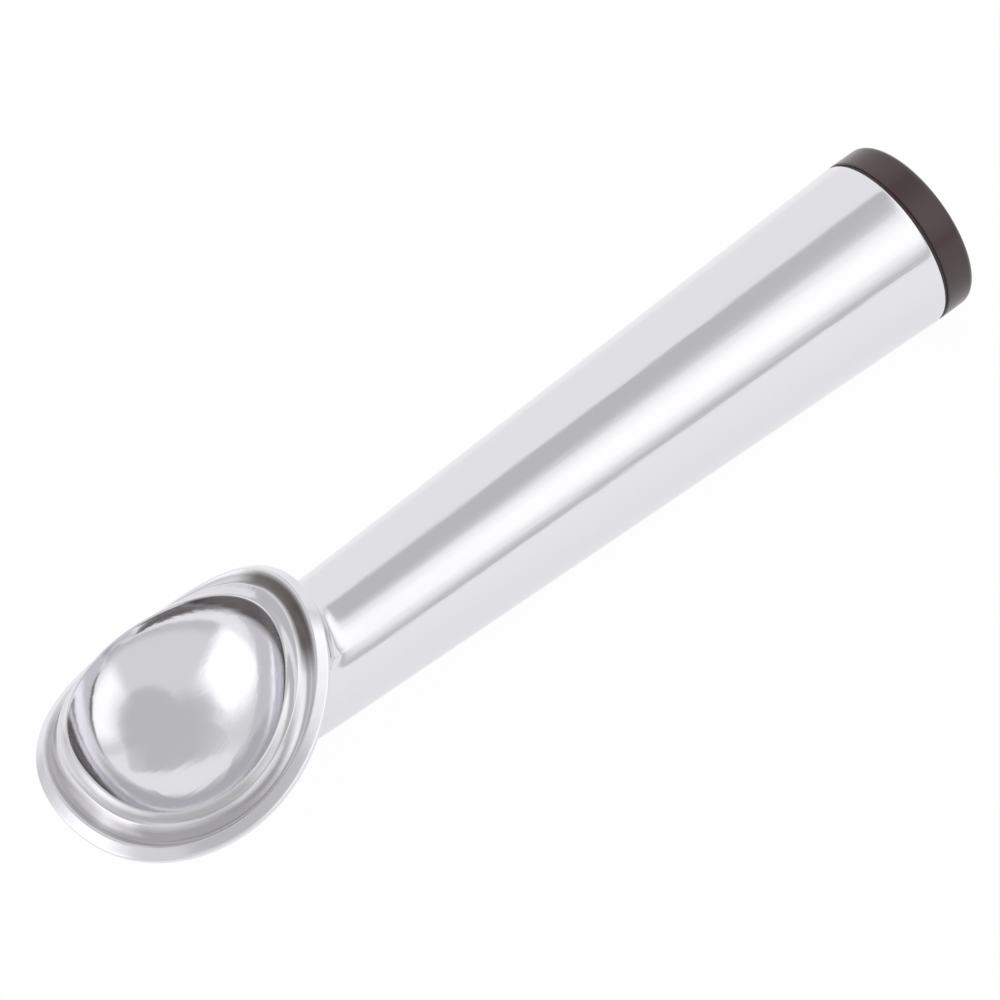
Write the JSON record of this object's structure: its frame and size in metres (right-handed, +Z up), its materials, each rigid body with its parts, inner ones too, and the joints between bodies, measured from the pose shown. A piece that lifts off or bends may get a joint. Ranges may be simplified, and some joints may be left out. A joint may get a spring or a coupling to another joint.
{
  "type": "ice cream scoop",
  "caption": "One-piece polished aluminium ice cream scoop: deep oval bowl with a stepped rim, round tapered hollow handle with a liquid inside, and a dark plastic end cap.",
  "frame": {"origin": "middle of the bottom of the part's box, as it lies bowl up on a table", "axes": "+X along the handle towards the cap, +Z up out of the bowl. The handle's axis climbs 1.75 degrees towards the cap, because the part lies on the bowl's bottom and the cap's edge."},
  "size_m": [0.178, 0.0516, 0.0321],
  "materials": {
    "polished_casting": "polished casting",
    "heat_liquid": "clear tinted liquid",
    "turned_plug": "turned",
    "seal_rubber": "matt",
    "cap_plastic": "satin moulded"
  },
  "bodies": {
    "root": {"scoop_casting": "polished_casting", "heat_fluid": "heat_liquid", "closure_plug": "turned_plug", "plug_seal": "seal_rubber", "end_cap": "cap_plastic"}
  },
  "joints": []
}
